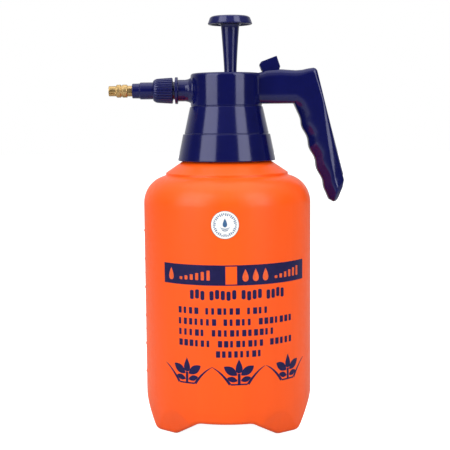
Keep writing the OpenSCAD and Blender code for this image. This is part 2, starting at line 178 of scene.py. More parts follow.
def navy_plastic():
    """Glossy moulded polypropylene with a slight ripple and hairline scuffs."""
    colour, roughness = (0.0030, 0.0042, 0.062), 0.13
    mat = material("navy_pp", colour, roughness, Specular_IOR_Level=0.50,
                   Specular_Tint=(0.76, 0.77, 1.0, 1))
    scuffs = noise(mat, 90, 8, (1, 1, 6), 0.7)
    return finish_with(
        mat, ramp(mat, noise(mat, 40, 3), around(colour, 0.12)),
        remap(mat, scuffs, roughness - 0.03, roughness + 0.05),
        [(noise(mat, 120, 2), 0.05, 0.0003), (noise(mat, 1800, 2), 0.04, 0.00008)])


def turned_brass():
    """Lathe-turned brass: fine rings round the spout's axis and duller patches."""
    mat = material("turned_brass", (0.55, 0.37, 0.16), 0.28, 1.0)
    rings = noise(mat, 2600, 2, (1, 0.002, 0.002))
    patches = noise(mat, 160, 4)
    tones = [(NOISE_LOW, (0.44, 0.285, 0.105)), (NOISE_HIGH, (0.62, 0.43, 0.20))]
    return finish_with(mat, ramp(mat, patches, tones), remap(mat, patches, 0.24, 0.34),
                       [(rings, 0.1, 0.00005)])


def moulded_rubber():
    """Matt black rubber with a coarse grain."""
    colour = (0.018, 0.018, 0.02)
    mat = material("moulded_rubber", colour, 0.62)
    grain = noise(mat, 900, 4)
    return finish_with(mat, ramp(mat, grain, around(colour, 0.3)),
                       remap(mat, grain, 0.55, 0.72), [(grain, 0.2, 0.0002)])


def natural_plastic():
    """Milky undyed polyethylene of the pump's inner works."""
    colour = (0.74, 0.77, 0.78)
    mat = material("natural_pe", colour, 0.32, Transmission_Weight=0.25, IOR=1.5)
    cloud = noise(mat, 70, 3)
    return finish_with(mat, ramp(mat, cloud, around(colour, 0.05)),
                       remap(mat, noise(mat, 400, 3), 0.26, 0.4),
                       [(noise(mat, 1200, 2), 0.05, 0.0001)])


def bright_steel():
    """Drawn steel with fine lines along the hinge pin."""
    colour = (0.56, 0.57, 0.6)
    mat = material("bright_steel", colour, 0.22, 1.0)
    drawn = noise(mat, 1500, 3, (1, 0.05, 1))
    return finish_with(mat, ramp(mat, drawn, around(colour, 0.1)),
                       remap(mat, drawn, 0.16, 0.3), [(drawn, 0.15, 0.0001)])


def sticker_paper():
    """White coated paper with a faint fibre."""
    colour = (0.86, 0.86, 0.85)
    mat = material("sticker_paper", colour, 0.42)
    fibre = noise(mat, 900, 5, (1, 1, 0.5))
    return finish_with(mat, ramp(mat, fibre, around(colour, 0.03)),
                       remap(mat, fibre, 0.36, 0.5), [(fibre, 0.12, 0.0001)])


def print_ink(name, colour):
    """Screen-printed ink: a little uneven in tone and slightly duller than the plastic."""
    mat = material(name, colour, 0.34, Specular_IOR_Level=0.2)
    cover = noise(mat, 300, 5)
    return finish_with(mat, ramp(mat, cover, around(colour, 0.14)),
                       remap(mat, cover, 0.28, 0.42), [(noise(mat, 1600, 2), 0.08, 0.0001)])


ORANGE = bottle_plastic()
NAVY = navy_plastic()
BRASS = turned_brass()
RUBBER = moulded_rubber()
NATURAL = natural_plastic()
STEEL = bright_steel()
PAPER = sticker_paper()
NAVY_INK = print_ink("navy_ink", (0.0090, 0.0075, 0.062))
ORANGE_INK = print_ink("orange_ink", (0.80, 0.115, 0.03))
BLUE_INK = print_ink("blue_ink", (0.05, 0.13, 0.27))
EDGE_INK = print_ink("edge_ink", (0.30, 0.16, 0.11))

# ---- mesh helpers ----

# Points closer than this are one point.
WELD = 0.0005


def weld_to_metres(bm):
    """Welds a bmesh's seams, turns its faces outward and scales it to metres."""
    bmesh.ops.remove_doubles(bm, verts=bm.verts, dist=WELD)
    bmesh.ops.recalc_face_normals(bm, faces=bm.faces)
    bmesh.ops.scale(bm, vec=(MM, MM, MM), verts=bm.verts)


def mesh_from(name, bm):
    """Mesh data from a bmesh, which is freed."""
    mesh = bpy.data.meshes.new(name)
    bm.to_mesh(mesh)
    bm.free()
    return mesh


def link_object(name, data):
    """Object in the scene's own collection."""
    obj = bpy.data.objects.new(name, data)
    bpy.context.scene.collection.objects.link(obj)
    return obj


def add_piece(name, bm, body, mat, replaces=(), crease=32):
    """Turns a bmesh in millimetres into a piece that rides on a body."""
    weld_to_metres(bm)
    obj = link_object(name, mesh_from(name, bm))
    shade(obj, crease)
    obj.data.materials.append(mat)
    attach(obj, body)
    if replaces:
        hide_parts(*replaces)
    return obj


def navy_piece(name, bm, body, replaces=(), crease=32):
    """Piece in the head's navy plastic."""
    return add_piece(name, bm, body, NAVY, replaces, crease)


def shade(obj, crease):
    """Smooth shading with sharp edges where faces meet at more than crease degrees."""
    obj.data.polygons.foreach_set("use_smooth", [True] * len(obj.data.polygons))
    obj.data.set_sharp_from_angle(angle=math.radians(crease))


def curve(a, b, c, t):
    """Point a part t along the curve from a to c that leans towards b."""
    return (1 - t) ** 2 * a + 2 * t * (1 - t) * b + t * t * c


# The largest share of an edge that one rounded corner may take.
EDGE_SHARE = 0.45


def fillet(points, steps=4, hold=0.35):
    """Polyline through (a, b, radius) corners, each rounded to its radius. A rounded corner
    gets a holding point on both sides where there is room, to keep the flats flat."""
    out = []
    count = len(points)
    for i, (x, y, radius) in enumerate(points):
        here = np.array((x, y), float)
        if radius == 0 or i == 0 or i == count - 1:
            out.append(here)
            continue
        before = np.array(points[i - 1][:2], float) - here
        after = np.array(points[i + 1][:2], float) - here
        len_a, len_b = np.linalg.norm(before), np.linalg.norm(after)
        u, v = before / len_a, after / len_b
        angle = math.acos(max(-1, min(1, float(u @ v))))
        cut = min(radius / math.tan(angle / 2), EDGE_SHARE * len_a, EDGE_SHARE * len_b)
        start, end = here + u * cut, here + v * cut
        if cut + hold < 0.5 * len_a:
            out.append(here + u * (cut + hold))
        out += [curve(start, here, end, k / steps) for k in range(steps + 1)]
        if cut + hold < 0.5 * len_b:
            out.append(here + v * (cut + hold))
    return np.array(out)


def arc(centre, radius, a, b, steps):
    """Points on an arc from a to b degrees."""
    return [(centre[0] + radius * math.cos(math.radians(t)),
             centre[1] + radius * math.sin(math.radians(t)))
            for t in np.linspace(a, b, steps)]


def grid_mesh(rows, closed_rows=True, closed_columns=False, caps=False):
    """bmesh from rows of equal numbers of 3-D points, joined into quads."""
    bm = bmesh.new()
    made = [[bm.verts.new(p) for p in row] for row in rows]
    count, width = len(made), len(made[0])
    for i in range(count if closed_rows else count - 1):
        a, b = made[i], made[(i + 1) % count]
        for j in range(width if closed_columns else width - 1):
            k = (j + 1) % width
            bm.faces.new((a[j], b[j], b[k], a[k]))
    if caps:
        bm.faces.new(made[0])
        bm.faces.new(made[-1][::-1])
    return bm


def turned(profile, axis="z", steps=128, closed=False, radial=None, shift=None, x=0.0):
    """Solid of revolution from (radius, height) points. Axis "z" stands upright at x and "x"
    is the spout's axis. radial(angle, height, radius) adds to the radius, and shift moves each
    point of the profile along x."""
    rows = []
    for angle in np.linspace(0, 2 * math.pi, steps, endpoint=False):
        c, s = math.cos(angle), math.sin(angle)
        row = []
        for i, (r, h) in enumerate(profile):
            if radial is not None and r > 0:
                r = r + radial(angle, h, r)
            if axis == "z":
                dx = 0 if shift is None else shift[i]
                row.append((x + dx + r * c, r * s, h))
            else:
                row.append((h, r * c, SPOUT_Z + r * s))
        rows.append(row)
    return grid_mesh(rows, True, closed)


def smooth_min(a, b, k):
    """The lesser of two values, blended where they are within k of each other."""
    h = np.maximum(k - np.abs(a - b), 0) / k
    return np.minimum(a, b) - h * h * k / 4


def smooth_max(a, b, k):
    return -smooth_min(-a, -b, k)


def ease(t):
    """Smooth step from 0 to 1."""
    t = min(1.0, max(0.0, t))
    return t * t * (3 - 2 * t)


# ---- bottle ----

WALL = 1.6
SHOULDER_R, SHOULDER_Z, SHOULDER_TURN = 20.8, 167, 74
PARTING_LINE = 0.12

# The underside's arches: (half width, slope) at the front and back, then at the sides.
ARCHES = [(20, math.radians(30)), (17, math.radians(45))]
ARCH_TOP, ARCH_FACE, ARCH_FLARE = 12.4, 57.5, math.radians(19.4)
ARCH_BLEND, PAD_BLEND = 1.6, 1.2

# The leaning flats that shape the feet: (bearing, distance at the floor, lean).
FLATS = [(s * math.radians(38) + b, 56.5, math.radians(16.5))
         for b in (0, math.pi) for s in (-1, 1)]
FLATS += [(b, 53.6, math.radians(21)) for b in (math.pi / 2, -math.pi / 2)]
FLAT_BLEND, FLAT_REACH = 0.35, 1.2
FOOT_TURN = math.radians(-2.5)
FOOT_TAPER = [(0, 13, 21, 28), (60.2, 61.7, 62.4, BODY_R)]
WALL_FROM = 30.0

NECK_R = 28.6
THREAD_PITCH, THREAD_RISE = 4.8, 1.5
THREAD_LOW, THREAD_PASS, THREAD_HIGH = 202.6, 206.0, 212.6


def base_height(x, y):
    """Height of the underside over the feet: arches between four flat pads."""
    height = np.zeros_like(x)
    for i in range(4):
        turn = -(FOOT_TURN + i * math.pi / 2)
        u = x * math.cos(turn) - y * math.sin(turn)
        v = x * math.sin(turn) + y * math.cos(turn)
        half, slope = ARCHES[i % 2]
        rise = math.tan(slope)
        roof = np.full_like(x, ARCH_TOP)
        for side in (1, -1):
            flank = ARCH_TOP - rise * (side * math.cos(ARCH_FLARE) * (u - side * half)
                                       + math.sin(ARCH_FLARE) * (v + ARCH_FACE))
            roof = smooth_min(roof, flank, ARCH_BLEND)
        own_half = v < 8
        height = smooth_max(height, np.where(own_half, roof, -50), PAD_BLEND)
    return height


def wall_radius(angle, z):
    """Radius of the outer wall near the base, trimmed by the leaning flats."""
    taper = np.interp(z, *FOOT_TAPER)
    for bearing, distance, lean in FLATS:
        off = (angle + math.pi / 2 - bearing - FOOT_TURN + math.pi) % (2 * math.pi) - math.pi
        if abs(off) < FLAT_REACH:
            flat = (distance + z * math.tan(lean)) / math.cos(off)
            taper = smooth_min(taper, flat, FLAT_BLEND)
    return taper


def base_section(angle, inset, n_base=46, n_corner=8, n_wall=34, bend=3.6):
    """(radius, z) from the middle of the base to WALL_FROM up the wall, at one bearing.
    inset is 0 for the outer surface and the wall's thickness for the inner one."""
    c, s = math.cos(angle), math.sin(angle)

    def under(r):
        r = np.asarray(r, float)
        return base_height(r * c, r * s) + inset

    def side(z):
        return wall_radius(angle, np.asarray(z, float)) - inset

    z = inset
    for _ in range(25):
        z = 0.5 * z + 0.5 * float(under(side(z)))
    edge = float(side(z))
    r_in = np.linspace(0, edge - bend, n_base)
    base = np.stack([r_in, under(r_in)], 1)
    z_up = np.linspace(z + bend, WALL_FROM, n_wall)
    wall = np.stack([side(z_up), z_up], 1)
    t = np.linspace(0, 1, n_corner + 2)[1:-1, None]
    corner = curve(base[-1], np.array((edge, z)), wall[0], t)
    return np.concatenate([base, corner, wall])


def neck_thread(angle, z):
    """Height of the one-start thread at a bearing and a height on the neck."""
    half_width, flank, fade = 1.5, 0.9, 1.5
    phase = (z - THREAD_PASS) / THREAD_PITCH - angle / (2 * math.pi)
    near = abs(phase - round(phase)) * THREAD_PITCH
    run_out = ease((z - THREAD_LOW) / fade) * ease((THREAD_HIGH - z) / fade)
    return THREAD_RISE * ease((half_width - near) / flank) * run_out


def make_bottle(steps=440):
    """Blown bottle as one skin, outside and inside, with its thread and parting lines."""
    centre, bore = (BODY_R - SHOULDER_R, SHOULDER_Z), NECK_R - 2
    shoulder = arc(centre, SHOULDER_R, 0, SHOULDER_TURN, 18)
    outer = [(BODY_R, z) for z in (45, 70, 100, 130, 155)] + shoulder
    ledge = [(*shoulder[-1], 0), (45.8, 187.7, 0.5), (45.7, 189.5, 0.45),
             (NECK_R, 201.0, 2.5), (NECK_R, 202.2, 0)]
    outer += [tuple(p) for p in fillet(ledge, 4, 0.6)[1:]]
    neck_rows = [(NECK_R, z) for z in np.arange(THREAD_LOW, 213.2, 0.4)]
    rim = [(NECK_R, 213.6, 0), (NECK_R, NECK_TOP, 0.4), (bore, NECK_TOP, 0.4),
           (bore, 200.3, 2.5), (44.4, 187.2, 1.5), (40.0, 186.0, 0)]
    inner = arc(centre, SHOULDER_R - WALL, SHOULDER_TURN, 0, 14)
    inner += [(BODY_R - WALL, z) for z in (130, 100, 70, 45)]
    upper = outer + neck_rows + [tuple(p) for p in fillet(rim, 4, 0.6)][:-1] + inner
    thread_from, thread_to = len(outer), len(outer) + len(neck_rows)
    seam_from_r = 50
    rows = []
    for angle in np.linspace(0, 2 * math.pi, steps, endpoint=False):
        section = list(base_section(angle, 0.0))
        c, s = math.cos(angle), math.sin(angle)
        seam = PARTING_LINE if abs(c) > 0.9999 else 0.0
        for i, (r, z) in enumerate(upper):
            if thread_from <= i < thread_to:
                r += neck_thread(angle, z)
            if i < len(outer) and r > seam_from_r:
                r += seam
            section.append((r, z))
        section += list(base_section(angle, WALL)[::-1])
        rows.append([(r * c, r * s, z) for r, z in section])
    add_piece("bottle_shell", grid_mesh(rows), "bottle", ORANGE,
              ["bottle"], 50)


# ---- prints, sticker and volume marks on the bottle ----


def wrap(name, outlines, lift, mat, thickness=0.12, bearing=0.0, step=2.0):
    """Thin raised print on the bottle. Outlines are (s, z) loops; s runs round the bottle from
    a bearing in degrees from -Y towards +X, and lift is how far the top stands off."""
    bm = bmesh.new()
    for outline in outlines:
        bm.faces.new([bm.verts.new((s, 0, z)) for s, z in outline])
    low = min(v.co.x for v in bm.verts)
    high = max(v.co.x for v in bm.verts)
    for cut in np.arange(low + step, high, step):
        bmesh.ops.bisect_plane(bm, geom=[*bm.verts, *bm.edges, *bm.faces],
                               plane_co=(cut, 0, 0), plane_no=(1, 0, 0), dist=1e-4)
    bmesh.ops.recalc_face_normals(bm, faces=bm.faces)
    top = list(bm.faces)
    made = bmesh.ops.extrude_face_region(bm, geom=top)
    moved = [g for g in made["geom"] if isinstance(g, bmesh.types.BMVert)]
    for v in moved:
        v.co.y = thickness
    for v in bm.verts:
        s, depth, z = v.co
        r = BODY_R + lift - depth
        a = s / BODY_R + math.radians(bearing)
        v.co = (r * math.sin(a), -r * math.cos(a), z)
    return add_piece(name, bm, "bottle", mat)


def rectangle(s0, z0, s1, z1):
    return [(s0, z0), (s1, z0), (s1, z1), (s0, z1)]


def block(s0, z0, s1, z1, r):
    """Rectangle with rounded corners."""
    r = min(r, (s1 - s0) / 2.01, (z1 - z0) / 2.01)
    out = []
    for cx, cz, start in ((s1 - r, z0 + r, -90), (s1 - r, z1 - r, 0),
                          (s0 + r, z1 - r, 90), (s0 + r, z0 + r, 180)):
        out += arc((cx, cz), r, start, start + 90, 4)
    return out


def disc(s, z, r, count):
    return [(s + r * math.cos(2 * math.pi * i / count), z + r * math.sin(2 * math.pi * i / count))
            for i in range(count)]


def drop(s, z, size, count=26):
    """Water drop standing on its round end, size tall."""
    out = []
    for i in range(count):
        t = 2 * math.pi * i / count
        width = 0.34 * size * math.sin(t) * math.sin(t / 2) ** 1.4
        out.append((s + width, z + 0.5 * size * math.cos(t)))
    return out[::-1]


def leaf(s, z, length, width, lean, count=12):
    """Pointed leaf from its foot at (s, z), leaning from upright by lean degrees."""
    side = [(width * math.sin(math.pi * k / count) ** 0.8, length * k / count)
            for k in range(count + 1)]
    loop = side + [(-w, h) for w, h in side[-2:0:-1]]
    c, d = math.cos(math.radians(lean)), math.sin(math.radians(lean))
    return [(s + w * c + h * d, z - w * d + h * c) for w, h in loop]


def blade(points, width, count=14):
    """Curved grass blade through three points, thick at its foot and sharp at its tip."""
    p0, p1, p2 = (np.array(p, float) for p in points)
    left, right = [], []
    for k in range(count + 1):
        t = k / count
        here = curve(p0, p1, p2, t)
        along = 2 * (1 - t) * (p1 - p0) + 2 * t * (p2 - p1)
        normal = np.array((-along[1], along[0])) / np.linalg.norm(along)
        half = width / 2 * (1 - t) ** 0.7 + 0.06
        left.append(tuple(here + normal * half))
        right.append(tuple(here - normal * half))
    return left + right[::-1]


PRINT_LIFT = 0.05
BAND_LOW, BAND_HIGH = 113.3, 127.7
BAND_FROM, BAND_TO = -50.7, 65.6
WINDOW_FROM, WINDOW_TO = -1.8, 6.3


def make_band():
    """Navy band round the front with a window, drops and gauge bars in the bottle's colour."""
    edge = 0.9
    wrap("label_band", [
        rectangle(BAND_FROM, BAND_LOW, WINDOW_FROM, BAND_HIGH),
        rectangle(WINDOW_TO, BAND_LOW, BAND_TO, BAND_HIGH),
        rectangle(WINDOW_FROM, BAND_LOW, WINDOW_TO, BAND_LOW + edge),
        rectangle(WINDOW_FROM, BAND_HIGH - edge, WINDOW_TO, BAND_HIGH)],
        PRINT_LIFT, NAVY_INK)
    middle = (BAND_LOW + BAND_HIGH) / 2
    drop_pitch, drop_size, bars = 7.5, 9.0, 6
    bar_pitch, bar_width, bar_foot, bar_top = 4.2, 2.3, middle - 3.6, middle - 1.6
    icons = []
    for start, drops in ((BAND_FROM + 7, 1), (WINDOW_TO + 6, 3)):
        icons += [drop(start + drop_pitch * i, middle, drop_size) for i in range(drops)]
        first = start + drop_pitch * drops
        icons += [block(first + bar_pitch * i, bar_foot, first + bar_pitch * i + bar_width,
                        bar_top + 1.0 * i, 0.5) for i in range(bars)]
    wrap("label_band_icons", icons, 0.09, ORANGE_INK)


# Lines of blocks: height of the line's foot, where it starts, and the blocks in each run.
PRINT_LINES = [
    (92.7, -37.4, (4, 6, 4)), (84.8, -37.4, (7, 5, 7)), (77.1, -37.2, (5, 11)),
    (69.4, -37.2, (6, 8, 5)), (62.0, -9.0, (8,))]
LINE_H, BLOCK_PITCH, BLOCK_CORNER = 4.7, 4.3, 0.45
WORD_GAP = BLOCK_PITCH * 0.9
BOLD_RUNS, BOLD_START, BOLD_FOOT, BOLD_HEAD = (3, 5, 4, 4), -27.8, 103.2, 109.8
BOLD_PITCH, BOLD_WIDTH, BOLD_GAP, BOLD_CORNER = 4.0, 2.9, 2.6, 1.1


def make_print_lines(seed=7):
    """Rows of plain blocks in the place of wording, with a bolder row above them."""
    draw = random.Random(seed)
    blocks = []
    for foot, start, runs in PRINT_LINES:
        s = start
        for run in runs:
            for _ in range(run):
                width = draw.choice((2.0, 2.5, 3.0))
                blocks.append(block(s, foot, s + width, foot + LINE_H, BLOCK_CORNER))
                s += BLOCK_PITCH
            s += WORD_GAP
    wrap("label_lines", blocks, PRINT_LIFT, NAVY_INK)
    bold, s = [], BOLD_START
    for run in BOLD_RUNS:
        for _ in range(run):
            rise = 0.6 * math.sin(1.9 * len(bold))
            bold.append(block(s, BOLD_FOOT + rise, s + BOLD_WIDTH, BOLD_HEAD + rise,
                              BOLD_CORNER))
            s += BOLD_PITCH
        s += BOLD_GAP
    wrap("label_bold_line", bold, PRINT_LIFT, NAVY_INK)


SPROUT_CENTRES, SPROUT_FOOT = (-31.0, 7.3, 46.8), 42.6


def make_sprouts():
    """Three sprouting plants between curved blades of grass, along the lower front."""
    foot = SPROUT_FOOT
    shapes = []
    for centre in SPROUT_CENTRES:
        shapes += [drop(centre, foot + 13.2, 10.4),
                   rectangle(centre - 1.0, foot, centre + 1.0, foot + 7.8),
                   block(centre - 6.2, foot - 0.6, centre + 6.2, foot + 0.5, 0.5)]
        for side in (-1, 1):
            shapes += [leaf(centre + side * 1.3, foot + 6.6, 11.4, 2.9, side * 56),
                       leaf(centre + side * 1.1, foot + 2.6, 7.8, 2.0, side * 74),
                       blade(((centre + side * 6.5, foot), (centre + side * 12.5, foot + 9),
                              (centre + side * 19.5, foot + 12.5)), 1.9)]
    wrap("label_sprouts", shapes, PRINT_LIFT, NAVY_INK, step=1.5)


STICKER_BEARING, STICKER_Z = -1.7, 156.0
STICKER_R, STICKER_RIM = 9.65, (9.6, 10.0)
RIM_COUNT, TICK_COUNT = 72, 34


def make_sticker():
    """Round paper sticker with a ring of ticks and a drop over two ripples."""
    middle = np.array((0, STICKER_Z))

    def ray(turn):
        return np.array((math.cos(turn), math.sin(turn)))

    paper = wrap("round_sticker_disc", [disc(0, STICKER_Z, STICKER_R, RIM_COUNT)], 0.14, PAPER,
                 0.13, STICKER_BEARING, 1.2)
    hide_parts("round_sticker")
    rim, (inside, outside) = [], STICKER_RIM
    for i in range(RIM_COUNT):
        a, b = (2 * math.pi * (i + k) / RIM_COUNT for k in (0, 1))
        rim.append([tuple(middle + r * ray(t))
                    for r, t in ((inside, a), (outside, a), (outside, b), (inside, b))])
    wrap("sticker_edge", rim, 0.13, EDGE_INK, bearing=STICKER_BEARING, step=40)
    marks, reach, half = [], 8.3, 0.34
    for i in range(TICK_COUNT):
        turn = 2 * math.pi * i / TICK_COUNT
        out = ray(turn)
        across = np.array((-out[1], out[0])) * half
        root = 6.5 if i % 3 else 7.1
        marks.append([tuple(middle + out * r + across * side)
                      for r, side in ((root, -1), (reach, -1), (reach, 1), (root, 1))])
    marks.append(drop(0, STICKER_Z + 1.6, 6.4))
    for k in (0, 1):
        foot = STICKER_Z - 2.6 - 1.2 * k
        for side in (-1, 1):
            marks.append(blade(((side * 0.1, foot - 0.3), (side * 1.6, foot - 0.3),
                                (side * (3.4 - k), foot + 0.9)), 0.6))
    wrap("sticker_print", marks, 0.16, BLUE_INK, 0.1, STICKER_BEARING, 3)


MARK_FIRST, MARK_PITCH, MARK_COUNT = 38.4, 21.6, 6
MARK_BEARING, MARK_SPAN, MARK_RISE = 180, 6.0, 0.55
HALF_MARK_SPAN, HALF_MARK_RISE = 2.6, 0.35
# Across a mark: (part of its rise, height from its middle).
MARK_SECTION = [(-0.3, -1.1), (0.0, -0.85), (0.75, -0.38), (1.0, 0.0), (0.75, 0.38),
                (0.0, 0.85), (-0.3, 1.1)]


def make_volume_marks():
    """Raised bars up the spout side, with a short half mark in every gap."""
    bm, root = bmesh.new(), BODY_R - 0.05
    levels = [(MARK_FIRST + MARK_PITCH * i, MARK_SPAN, MARK_RISE) for i in range(MARK_COUNT)]
    levels += [(MARK_FIRST + MARK_PITCH * (i + 0.5), HALF_MARK_SPAN, HALF_MARK_RISE)
               for i in range(MARK_COUNT - 1)]
    for z, half, height in levels:
        rows = []
        for t in np.linspace(-1, 1, 17):
            a = math.radians(MARK_BEARING + half * t)
            swell = height * (1 - abs(t) ** 6)
            rows.append([((root + swell * d) * math.cos(a), (root + swell * d) * math.sin(a),
                          z + h) for d, h in MARK_SECTION])
        mark = mesh_from("mark", grid_mesh(rows, False, True, True))
        bm.from_mesh(mark)
        bpy.data.meshes.remove(mark)
    add_piece("volume_marks", bm, "bottle", ORANGE, (), 60)


# ---- head, spout and handle ----

SKIRT_R, HEAD_R = 36.6, 26.6
STEM_HOLE_R, BARREL_HOLE_R = 7.2, 12.7


def make_head_shell():
    """Stepped skirt and pump chamber as one turned shell, with the stem's hole off centre."""
    roof, deck_top = HEAD_TOP - 2.4, DECK_Z + 3.5
    outer = [(STEM_HOLE_R, roof, 0), (STEM_HOLE_R, HEAD_TOP, 0.4),
             (9.4, HEAD_TOP, 0.3), (9.9, HEAD_TOP - 0.5, 0.3), (20.5, HEAD_TOP - 0.5, 0.3),
             (21.2, HEAD_TOP, 0.3), (HEAD_R, HEAD_TOP, 2.4),
             (HEAD_R, 239.3, 0.2), (HEAD_R - 0.25, 238.9, 0.1), (HEAD_R - 0.2, 238.5, 0.1),
             (27.2, 238.15, 0.3), (31.45, 219.0, 0.2), (31.35, 218.6, 0.1), (31.45, 218.2, 0.1),
             (32.6, 217.9, 0.35), (SKIRT_R, SKIRT_Z + 0.2, 0.6), (SKIRT_R - 1.6, SKIRT_Z, 0.3),
             (34.4, SKIRT_Z + 0.6, 0.4), (30.7, DECK_Z, 0.5), (BARREL_HOLE_R, DECK_Z, 0.2),
             (BARREL_HOLE_R, deck_top, 0.2), (28.4, deck_top, 0.6), (24.5, 238.0, 1),
             (24.4, roof, 0.8), (STEM_HOLE_R + 0.01, roof, 0)]
    profile = fillet(outer, 4, 0.4)
    centred_from, blend = 24.0, 10
    shift = [PUMP_X * ease((centred_from - r) / blend) for r, _ in profile]
    bm = turned(profile, steps=192, closed=True, shift=shift)
    shell = navy_piece("head_shell", bm, "head", ["head_housing"], 40)
    yoke_window, outlet = box_cutter((22, -4, 246), (29.5, 4, 257.5)), bore_cutter(5.9, -29, -20)
    cut(shell, [yoke_window, outlet], 40)
    foot, top, bore, outside = 208, DECK_Z + 1, 3.25, 4.7
    ring = fillet([(bore, foot, 0), (outside, foot, 0.3), (outside, top, 0), (bore, top, 0),
                   (bore, foot + 0.01, 0)], 3, 0.2)
    low, high = corners("dip_tube")
    socket = turned(ring, steps=48, closed=True, x=(low.x + high.x) / 2)
    navy_piece("dip_socket", socket, "head")


NIPPLE_END = NUT_LOW.x + 5.8


def make_spout():
    """Spout with its flare into the head, its flange and the ribbed nipple behind the nut."""
    bore, nipple, rib = 4.0, 6.6, 7.2
    outline = [(bore, -25.2, 0), (3.6, -25.2, 0.1), (3.6, -14, 0.2), (6.2, -14, 0.4),
               (6.2, -23.5, 0.3), (10.5, -23.6, 0.2), (10.5, -25.0, 1.5), (8.5, -28.0, 2.5),
               (8.0, -30.5, 1), (8.0, -35.9, 0.35), (9.95, -36.0, 0.45), (9.95, -38.1, 0.45),
               (nipple, -38.2, 0.3)]
    for x in (-41, -43.5, -46):
        outline += [(nipple, x + 0.8, 0.1), (rib, x + 0.2, 0.1), (rib, x - 0.2, 0.1),
                    (nipple, x - 0.8, 0.1)]
    outline += [(nipple, NIPPLE_END, 0.6), (bore, NIPPLE_END, 0.3), (bore, -25.21, 0)]
    bm = turned(fillet(outline, 4, 0.3), "x", 96, True)
    navy_piece("spout", bm, "head", ["head_housing"])


HALF_W = 11.5
BRIDGE_LOW = 240.3
TRIGGER_SLOT = (26.8, -6.4, 249), (44, 6.4, 275)
BRIDGE_CAVITY = (15, -8.9, 243), (57, 8.9, 262)
GRIP_HEEL = (87.5, 183.4)
GRIP_BACK_TOP = (67.2, 262.6)
FINGER_TOP, FINGER_LOW = (50.8, 240.0), (75.4, 170.8)
FINGER_LENGTH = 73.44
GROOVE_PITCH, GROOVE_DEPTH, GROOVE_AT = 16.8, 0.65, 26.3
# Section sizes: half width and bevel on the finger side, then on the back.
BRIDGE_SECTION = (8.9, 4.9, 8.9, 4.0)
GRIP_CORNER = 2.4
BRIDGE_ROWS, KNEE_ROWS, GRIP_ROWS, TOE_ROWS = 16, 26, 90, 14


def rail(points, count):
    """count points spaced evenly along a polyline."""
    points = np.array(points, float)
    run = np.concatenate([[0], np.cumsum(np.linalg.norm(np.diff(points, axis=0), axis=1))])
    at = np.linspace(0, run[-1], count)
    return np.stack([np.interp(at, run, points[:, 0]), np.interp(at, run, points[:, 1])], 1)


def finger_side(k):
    """Point of the finger side a part k of the way down, with its four shallow grooves."""
    run = FINGER_LENGTH * k
    fade = min(1, k * 5, (1 - k) * 8)
    swell = GROOVE_DEPTH * fade * math.cos(2 * math.pi * (run - GROOVE_AT) / GROOVE_PITCH)
    return (FINGER_TOP[0] + (FINGER_LOW[0] - FINGER_TOP[0]) * k + swell,
            FINGER_TOP[1] + (FINGER_LOW[1] - FINGER_TOP[1]) * k)


def eight_sided(length, w_in, b_in, w_out, b_out, half):
    """Rounded eight-sided section: (along, across) from the finger side to the back."""
    loop = [(0, -w_in), (0, w_in), (b_in, half), (length - b_out, half), (length, w_out),
            (length, -w_out), (length - b_out, -half), (b_in, -half)]
    closed = [loop[-1]] + loop + [loop[0]]
    out = []
    for i in range(1, 9):
        before, here, after = (np.array(p, float) for p in closed[i - 1:i + 2])
        u, v = before - here, after - here
        lu, lv = np.linalg.norm(u), np.linalg.norm(v)
        cut = min(GRIP_CORNER, 0.42 * lu, 0.42 * lv)
        start, end = here + u / lu * cut, here + v / lv * cut
        out += [curve(start, here, end, t) for t in (0, 0.17, 0.34, 0.5, 0.66, 0.83, 1)]
    return out


def handle_stations():
    """(finger side point, back point, section sizes) from inside the head to the toe."""
    top = [(20, 262), (26.4, 263.6), (30, 264.8), (40, 265.4), (46, 264.9), (51, 264.5)]
    hump = [(56, 264.8), (60, 265.7)] + arc((64.3, 263.3), 3, 105, 10, 7)
    knee_in, knee_out = finger_side(0.07), (72.75, 240.9)
    xs = np.linspace(20, 49.0, BRIDGE_ROWS)
    heights = np.interp(xs, [x for x, _ in top], [z for _, z in top])
    stations = [((x, BRIDGE_LOW), (x, z), BRIDGE_SECTION) for x, z in zip(xs, heights)]
    inner = rail([(49.3, BRIDGE_LOW), (50.4, 240.1), knee_in], KNEE_ROWS)
    outer = rail([(49.3, 264.7), (51, 264.5)] + hump + [knee_out], KNEE_ROWS)
    for k, (a, b) in enumerate(zip(inner, outer)):
        t = ease(k / (KNEE_ROWS - 1))
        stations.append((a, b, (8.9 - 2.4 * t, 4.9 + 2.0 * t, 8.9 + 1.9 * t, 4.0 - 2.6 * t)))
    inner = [finger_side(k) for k in np.linspace(0.075, 1, GRIP_ROWS)]
    outer = rail([knee_out, GRIP_HEEL], GRIP_ROWS)
    for k, (a, b) in enumerate(zip(inner, outer)):
        t = k / (GRIP_ROWS - 1)
        stations.append((a, b, (6.5, 6.9, 10.8 - 3.2 * t, 1.4 + 7.4 * t)))
    inner = rail([FINGER_LOW, (76.4, 168.6), (78, 167.7)], TOE_ROWS)
    toe = [GRIP_HEEL, (86.5, 178), (83.2, 169.8), (81.8, 167.7), (80.3, 167.0)]
    outer = rail(toe, TOE_ROWS)
    stations += [(a, b, (6.5, 6.9, 7.6, 8.8)) for a, b in zip(inner[1:], outer[1:])]
    return stations


